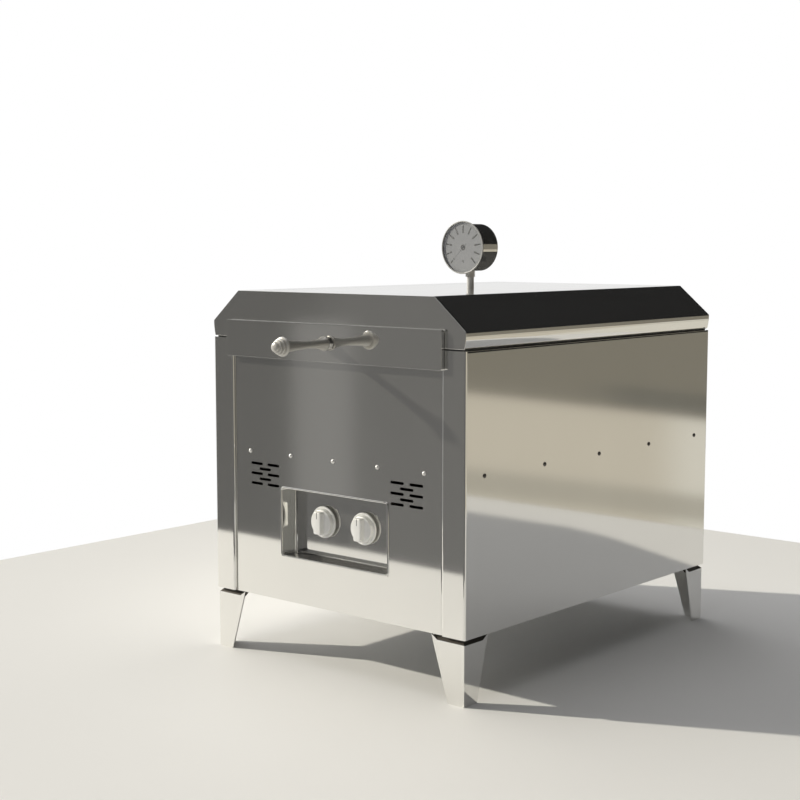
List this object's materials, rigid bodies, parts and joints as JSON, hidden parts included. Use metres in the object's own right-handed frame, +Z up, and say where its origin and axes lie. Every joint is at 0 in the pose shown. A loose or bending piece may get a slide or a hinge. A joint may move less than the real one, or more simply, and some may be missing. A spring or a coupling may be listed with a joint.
{
  "type": "outdoor pizza oven",
  "caption": "Gas pizza oven: polished sheet cabinet on tapered legs, hinged chamfered lid with turned handle and dial gauge, recessed control knobs, stone on a rack over tube burners.",
  "frame": {"origin": "on the ground, at the middle of the box around the whole oven", "axes": "+X to the right as seen from the front, +Y from front to back, +Z up"},
  "size_m": [0.4844, 0.7606, 0.6445],
  "materials": {
    "polished_steel": "mirror polished stainless sheet",
    "satin_steel": "satin",
    "dark_steel": "blackened",
    "galvanised_steel": "spangled zinc",
    "brass": "machined",
    "cast_aluminium": "satin",
    "dial_grey": "matt",
    "clear_glass": "clear",
    "fired_stone": "fired, unglazed",
    "ceramic_fibre": "fibre blanket",
    "woven_seal": "woven"
  },
  "bodies": {
    "cabinet": {"left_side_panel": "polished_steel", "right_side_panel": "polished_steel", "front_panel": "polished_steel", "back_panel": "polished_steel", "control_tray": "polished_steel", "front_left_leg": "polished_steel", "front_right_leg": "polished_steel", "rear_left_leg": "polished_steel", "rear_right_leg": "polished_steel", "front_screws": "polished_steel", "rear_screws": "satin_steel", "left_chamber_wall": "satin_steel", "right_chamber_wall": "satin_steel", "front_chamber_wall": "satin_steel", "rear_chamber_wall": "satin_steel", "supply_pipe": "satin_steel", "gas_manifold": "satin_steel", "hinge_bases": "satin_steel", "side_screws": "dark_steel", "stone_rack": "dark_steel", "heat_deflector": "dark_steel", "hinge_pins": "dark_steel", "base_pan": "galvanised_steel", "left_shelf_rail": "galvanised_steel", "right_shelf_rail": "galvanised_steel", "front_shelf_rail": "galvanised_steel", "rear_shelf_rail": "galvanised_steel", "left_burner": "galvanised_steel", "right_burner": "galvanised_steel", "burner_brackets": "galvanised_steel", "left_valve_body": "brass", "right_valve_body": "brass", "injectors": "brass", "gas_inlet": "brass", "pizza_stone": "fired_stone", "lid_seal": "woven_seal"},
    "lid": {"lid_skin": "polished_steel", "lid_front_panel": "polished_steel", "lid_rear_panel": "polished_steel", "lid_liner": "satin_steel", "lid_insulation": "ceramic_fibre", "hinge_leaves": "satin_steel", "handle_plate": "polished_steel", "handle_stud": "satin_steel", "handle_nut": "dark_steel", "handle_grip": "cast_aluminium", "handle_finial": "cast_aluminium", "gauge_stem": "satin_steel", "gauge_nut": "dark_steel", "gauge_case": "polished_steel", "gauge_bezel": "cast_aluminium", "gauge_lens": "clear_glass", "gauge_dial": "dial_grey"},
    "pointer": {"gauge_pointer": "satin_steel"},
    "left_valve": {"left_valve_plug": "brass"},
    "right_valve": {"right_valve_plug": "brass"},
    "left_control": {"left_knob": "cast_aluminium", "left_spindle": "satin_steel"},
    "right_control": {"right_knob": "cast_aluminium", "right_spindle": "satin_steel"}
  },
  "joints": [
    {"name": "lid_hinge", "type": "hinge", "parent": "cabinet", "child": "lid", "pos_m": [0, 0.36425, 0.473], "axis": [-1, 0, 0], "range_deg": [0, 100]},
    {"name": "pointer_turn", "type": "hinge", "parent": "lid", "child": "pointer", "pos_m": [0, 0.02825, 0.604], "axis": [0, 1, 0], "range_deg": [0, 270], "stiffness_Nm_per_rad": 0.002},
    {"name": "left_valve_turn", "type": "hinge", "parent": "cabinet", "child": "left_valve", "pos_m": [-0.0388, -0.22575, 0.2115], "axis": [0, -1, 0], "range_deg": [0, 210]},
    {"name": "left_knob_push", "type": "slide", "parent": "left_valve", "child": "left_control", "axis": [0, 1, 0], "range_m": [0, 0.003], "stiffness_N_per_m": 400},
    {"name": "right_valve_turn", "type": "hinge", "parent": "cabinet", "child": "right_valve", "pos_m": [0.0388, -0.22575, 0.2115], "axis": [0, -1, 0], "range_deg": [0, 210]},
    {"name": "right_knob_push", "type": "slide", "parent": "right_valve", "child": "right_control", "axis": [0, 1, 0], "range_m": [0, 0.003], "stiffness_N_per_m": 400}
  ]
}
